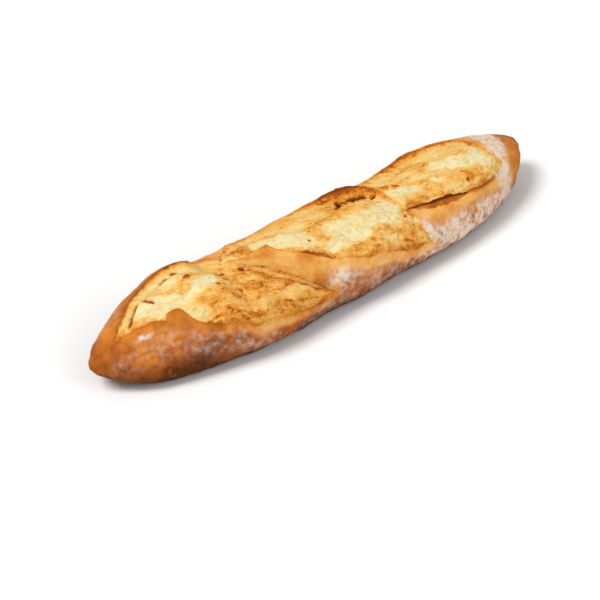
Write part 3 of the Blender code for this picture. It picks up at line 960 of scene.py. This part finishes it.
def snapped(s, angle, places):
    """Slide grid points that lie close to a lip onto it, so that the lips are clean edges."""
    along = np.gradient(places[..., 0], axis=0)
    around = np.abs(np.gradient(places[..., 1], axis=1))
    rate = np.gradient(places[..., 1], axis=1) / np.gradient(angle, axis=1)
    to_near, to_far = (Edge(kind, CUTS).nearest(places)[1] for kind in ("near", "far"))
    near_is_closer = np.linalg.norm(to_near, axis=-1) < np.linalg.norm(to_far, axis=-1)
    step = np.where(near_is_closer[..., None], to_near, to_far)
    on_lip = (np.abs(step[..., 0]) < SNAP_SHARE * along) & (np.abs(step[..., 1]) < SNAP_SHARE * around)
    s = s + np.where(on_lip, step[..., 0] / HALF_LENGTH, 0)
    angle = angle + np.where(on_lip, step[..., 1] / rate, 0)
    return s, angle, places + step * on_lip[..., None], on_lip


def loaf_surface():
    """Finished grid points, places on the unrolled skin, lip flags, masks and the two tips."""
    s = ring_stations()[:, None]
    angle = ring_angles()[None, :]
    rings = skin(s, angle)
    travelled = travelled_around(rings)
    crown = np.abs(angle[0] - np.pi / 2).argmin()
    places = np.stack([rings[..., 0], travelled[:, crown : crown + 1] - travelled], axis=-1)
    s, angle, places, on_lip = snapped(s, angle, places)
    rings = skin(s, angle)
    along, around, normal = tangents(rings)
    height, shift, masks = surface(places, rings, on_lip)
    off_base = smoothstep(*FLAT_BASE, rings[..., 2])
    moved = rings + normal * (height * off_base)[..., None]
    moved = moved + along * shift[..., :1] + around * shift[..., 1:]
    moved[..., 2] = np.maximum(moved[..., 2], 0)
    tips = skin(np.array([[-1.0], [1.0]]), np.zeros((1, 1)))[:, 0]
    return moved, places, on_lip, masks, tips


def cell_faces(on_lip):
    """Grid cells as (row, column) corners: a cell is split where its diagonal runs along a lip."""
    faces = []
    for i in range(1, RINGS):
        row, next_row = on_lip[i - 1], on_lip[i]
        for j in range(RING_POINTS):
            a, b, c, d = (i, j), (i, j + 1), (i + 1, j + 1), (i + 1, j)
            if row[j] and next_row[j + 1]:
                faces += [(a, b, c), (a, c, d)]
            elif row[j + 1] and next_row[j]:
                faces += [(b, c, d), (b, d, a)]
            else:
                faces.append((a, b, c, d))
    return faces


def tip_faces():
    """Triangles that close the grid. The tips are row 0 and the last row, each a single point."""
    left = [((0, j), (1, j + 1), (1, j)) for j in range(RING_POINTS)]
    right = [((RINGS + 1, j), (RINGS, j), (RINGS, j + 1)) for j in range(RING_POINTS)]
    return left + right


def numbered(faces, places):
    """Each face's corners as point numbers, and every corner's place on the unrolled skin."""
    numbers = np.arange(RINGS * RING_POINTS).reshape(RINGS, RING_POINTS)
    numbers = np.pad(numbers, ((1, 1), (0, 1)), "wrap")
    numbers[0] = RINGS * RING_POINTS
    numbers[-1] = numbers[0] + 1
    places = np.pad(places, ((1, 1), (0, 0), (0, 0)))
    places[0] = (-HALF_LENGTH, 0)
    places[-1] = (HALF_LENGTH, 0)
    numbers, places = numbers.tolist(), places.tolist()
    unrolled = [places[i][j] for face in faces for i, j in face]
    return [[numbers[i][j] for i, j in face] for face in faces], np.array(unrolled)


def add_unrolled_uv(mesh, unrolled):
    """UV map of the skin unrolled flat, with its seam along the middle of the base."""
    low = unrolled.min(axis=0)
    size = (unrolled.max(axis=0) - low).max()
    uv = UV_MARGIN + (unrolled - low) / size * (1 - 2 * UV_MARGIN)
    layer = mesh.uv_layers.new(name="OFBake")
    layer.data.foreach_set("uv", uv.astype(np.float32).ravel())


def add_masks(mesh, masks):
    """One value of each mask for every point. Each tip takes that of a point beside it."""
    for name, values in masks.items():
        flat = values[:, :-1].reshape(-1)
        flat = np.concatenate([flat, [flat[0], flat[-1]]])
        mesh.attributes.new(name, "FLOAT", "POINT").data.foreach_set("value", flat.astype(np.float32))


def build_loaf():
    grid, places, on_lip, masks, tips = loaf_surface()
    points = np.concatenate([grid[:, :-1].reshape(-1, 3), tips])
    middle = (points.min(axis=0) + points.max(axis=0)) / 2
    target = (LOW + HIGH) / 2
    points -= (middle[0] - target.x, middle[1] - target.y, points[:, 2].min() - LOW.z)

    faces, unrolled = numbered(cell_faces(on_lip) + tip_faces(), places)
    mesh = bpy.data.meshes.new("baguette")
    mesh.from_pydata(points.tolist(), [], faces)
    mesh.polygons.foreach_set("use_smooth", [True] * len(mesh.polygons))
    add_unrolled_uv(mesh, unrolled)
    add_masks(mesh, masks)
    mesh.update()
    loaf = bpy.data.objects.new("baguette", mesh)
    bpy.context.scene.collection.objects.link(loaf)
    return loaf


# ---- Material ----
class Nodes:
    """Short calls for building a node tree. A value is a number, a colour or another node's output."""

    def __init__(self, tree):
        self.tree = tree

    def add(self, kind, **settings):
        node = self.tree.nodes.new(kind)
        for key, value in settings.items():
            setattr(node, key, value)
        return node

    def feed(self, socket, value):
        if hasattr(value, "links"):
            self.tree.links.new(value, socket)
        else:
            socket.default_value = (*value, 1) if isinstance(value, tuple) else value

    def mask(self, name):
        return self.add("ShaderNodeAttribute", attribute_name=name).outputs["Fac"]

    def math(self, operation, a, b, clamp=False):
        node = self.add("ShaderNodeMath", operation=operation, use_clamp=clamp)
        self.feed(node.inputs[0], a)
        self.feed(node.inputs[1], b)
        return node.outputs[0]

    def plus(self, a, b, clamp=False):
        return self.math("ADD", a, b, clamp)

    def times(self, a, b):
        return self.math("MULTIPLY", a, b)

    def noise(self, place, size, detail, roughness=0.6):
        node = self.add("ShaderNodeTexNoise")
        self.feed(node.inputs["Vector"], place)
        self.feed(node.inputs["Scale"], 1 / size)
        self.feed(node.inputs["Detail"], detail)
        self.feed(node.inputs["Roughness"], roughness)
        return node.outputs["Fac"]

    def ramp(self, factor, stops):
        node = self.add("ShaderNodeValToRGB")
        ramp = node.color_ramp
        while len(ramp.elements) < len(stops):
            ramp.elements.new(0.5)
        for element, (position, colour) in zip(ramp.elements, stops):
            element.position = position
            element.color = (*colour, 1)
        self.feed(node.inputs["Fac"], factor)
        return node.outputs["Color"]

    def mix(self, factor, a, b):
        """A colour between two. The node has sockets of one name for each kind of value."""
        node = self.add("ShaderNodeMix", data_type="RGBA")
        self.feed(node.inputs["Factor"], factor)
        for name, value in (("A", a), ("B", b)):
            socket = next(s for s in node.inputs if s.name == name and s.type == "RGBA")
            self.feed(socket, value)
        return next(s for s in node.outputs if s.type == "RGBA")

    def spread(self, value, low, high, to_low=0.0, to_high=1.0):
        """The value from low to high spread from to_low to to_high, with soft ends."""
        node = self.add("ShaderNodeMapRange", interpolation_type="SMOOTHSTEP")
        sockets = {"Value": value, "From Min": low, "From Max": high, "To Min": to_low, "To Max": to_high}
        for name, given in sockets.items():
            self.feed(node.inputs[name], given)
        return node.outputs[0]

    def wobble(self, noise_output, amount):
        """Noise as plus and minus an amount."""
        return self.spread(noise_output, *NOISE_RANGE, -amount, amount)


def crumb_colour(nodes, grit, speckle):
    toast = nodes.plus(nodes.mask("toast"), nodes.wobble(speckle, SPECKLE_TOAST))
    toast = nodes.plus(toast, nodes.wobble(grit, GRIT_TOAST))
    toast = nodes.plus(toast, nodes.times(nodes.mask("edge"), RIM_TOAST), clamp=True)
    return nodes.ramp(toast, CRUMB_RAMP)


def crust_colour(nodes, grit, cloud):
    baking_and_shade = nodes.plus(nodes.mask("baking_and_shade"), nodes.wobble(cloud, CLOUD_BAKING))
    baking_and_shade = nodes.plus(baking_and_shade, nodes.wobble(grit, GRIT_BAKING), clamp=True)
    return nodes.ramp(baking_and_shade, CRUST_RAMP)


def dust_amount(nodes, grit, speckle):
    """Grains of flour, gathered in specks and thinned by the grit."""
    specks = nodes.plus(nodes.times(nodes.mask("flour"), DUST_FLOUR), nodes.times(speckle, DUST_SPECKLE))
    return nodes.times(nodes.spread(specks, *DUST_RANGE), nodes.spread(grit, *DUST_GRIT))


def bread_material():
    material = bpy.data.materials.new("bread")
    material.use_nodes = True
    nodes = Nodes(material.node_tree)
    shader = material.node_tree.nodes["Principled BSDF"]
    place = nodes.add("ShaderNodeTexCoord").outputs["Object"]
    grit = nodes.noise(place, GRIT_SIZE, 4)
    speckle = nodes.noise(place, SPECKLE_SIZE, 5, 0.7)
    cloud = nodes.noise(place, CLOUD_SIZE, 4)

    dust = dust_amount(nodes, grit, speckle)
    veil = nodes.times(nodes.mask("flour"), VEIL)
    cover = nodes.plus(veil, nodes.times(dust, DUST_COVER), clamp=True)
    dusted = nodes.mix(cover, crust_colour(nodes, grit, cloud), FLOUR)
    colour = nodes.mix(nodes.mask("crumb"), dusted, crumb_colour(nodes, grit, speckle))
    # Painted shade: where the shade mask is high, the colour turns orange, russet and dark brown.
    shade_colour = nodes.ramp(nodes.mask("shade"), PAINTED_SHADE_RAMP)
    colour = nodes.mix(nodes.spread(nodes.mask("shade"), 0.0, FULL_SHADE), colour, shade_colour)
    nodes.feed(shader.inputs["Base Color"], colour)

    crust_rough = nodes.spread(dust, *CRUST_ROUGHNESS)
    crumb_rough = nodes.times(nodes.mask("crumb"), CRUMB_ROUGHNESS)
    nodes.feed(shader.inputs["Roughness"], nodes.math("MAXIMUM", crust_rough, crumb_rough))
    shader.inputs["Specular IOR Level"].default_value = SPECULAR

    bump = nodes.add("ShaderNodeBump")
    grain = nodes.plus(nodes.times(grit, GRIT_GRAIN), nodes.times(speckle, 1 - GRIT_GRAIN))
    strength = nodes.plus(nodes.times(nodes.mask("crumb"), CRUMB_GRAIN), CRUST_GRAIN)
    nodes.feed(bump.inputs["Height"], grain)
    nodes.feed(bump.inputs["Strength"], strength)
    nodes.feed(bump.inputs["Distance"], GRAIN_HEIGHT)
    nodes.feed(shader.inputs["Normal"], bump.outputs["Normal"])
    return material


def plain_material(name, colour, roughness):
    material = bpy.data.materials.new(name)
    material.use_nodes = True
    shader = material.node_tree.nodes["Principled BSDF"]
    shader.inputs["Base Color"].default_value = (*colour, 1)
    shader.inputs["Roughness"].default_value = roughness
    return material


# ---- Stage ----
def add_floor():
    bpy.ops.mesh.primitive_plane_add(size=FLOOR_SIZE)
    floor = bpy.context.object
    floor.name = "floor"
    floor.data.materials.append(plain_material("pale_floor", FLOOR_COLOUR, FLOOR_ROUGHNESS))


def aim(obj, place, target):
    obj.location = place
    obj.rotation_euler = (Vector(target) - Vector(place)).to_track_quat("-Z", "Y").to_euler()


def add_light(name, kind, place, strength, softness):
    """A white light that looks at the loaf: a sun with a soft disc, or a large round panel."""
    data = bpy.data.lights.new(name, kind)
    data.energy = strength
    if kind == "SUN":
        data.angle = softness
    else:
        data.shape = "DISK"
        data.size = softness
    light = bpy.data.objects.new(name, data)
    bpy.context.scene.collection.objects.link(light)
    aim(light, place, (0, 0, 0))


def add_lights():
    for light in LIGHTS:
        add_light(*light)
    world = bpy.data.worlds.new("studio")
    world.use_nodes = True
    background = world.node_tree.nodes["Background"]
    background.inputs["Color"].default_value = (1.0, 1.0, 1.0, 1)
    background.inputs["Strength"].default_value = STUDIO_LIGHT
    bpy.context.scene.world = world


def add_camera():
    """Camera to the near left of the loaf and above it, with the horizon level."""
    right = Vector((np.cos(VIEW_TURN), -np.sin(VIEW_TURN), 0))
    tilt_up = np.sin(VIEW_ELEVATION)
    up = Vector((np.sin(VIEW_TURN) * tilt_up, np.cos(VIEW_TURN) * tilt_up, np.cos(VIEW_ELEVATION)))
    back = right.cross(up)
    centre = Vector((0, 0, SPAN.z / 2)) - right * LOAF_RIGHT - up * LOAF_ABOVE
    data = bpy.data.cameras.new("camera")
    data.sensor_width = SENSOR
    data.lens = SENSOR * VIEW_DISTANCE / VIEW_WIDTH
    camera = bpy.data.objects.new("camera", data)
    bpy.context.scene.collection.objects.link(camera)
    aim(camera, centre + back * VIEW_DISTANCE, centre)
    bpy.context.scene.camera = camera


add_camera()
add_floor()
add_lights()
baguette = build_loaf()
baguette.data.materials.append(bread_material())
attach(baguette, "root")
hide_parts("loaf")
bpy.context.scene.view_settings.view_transform = "Standard"
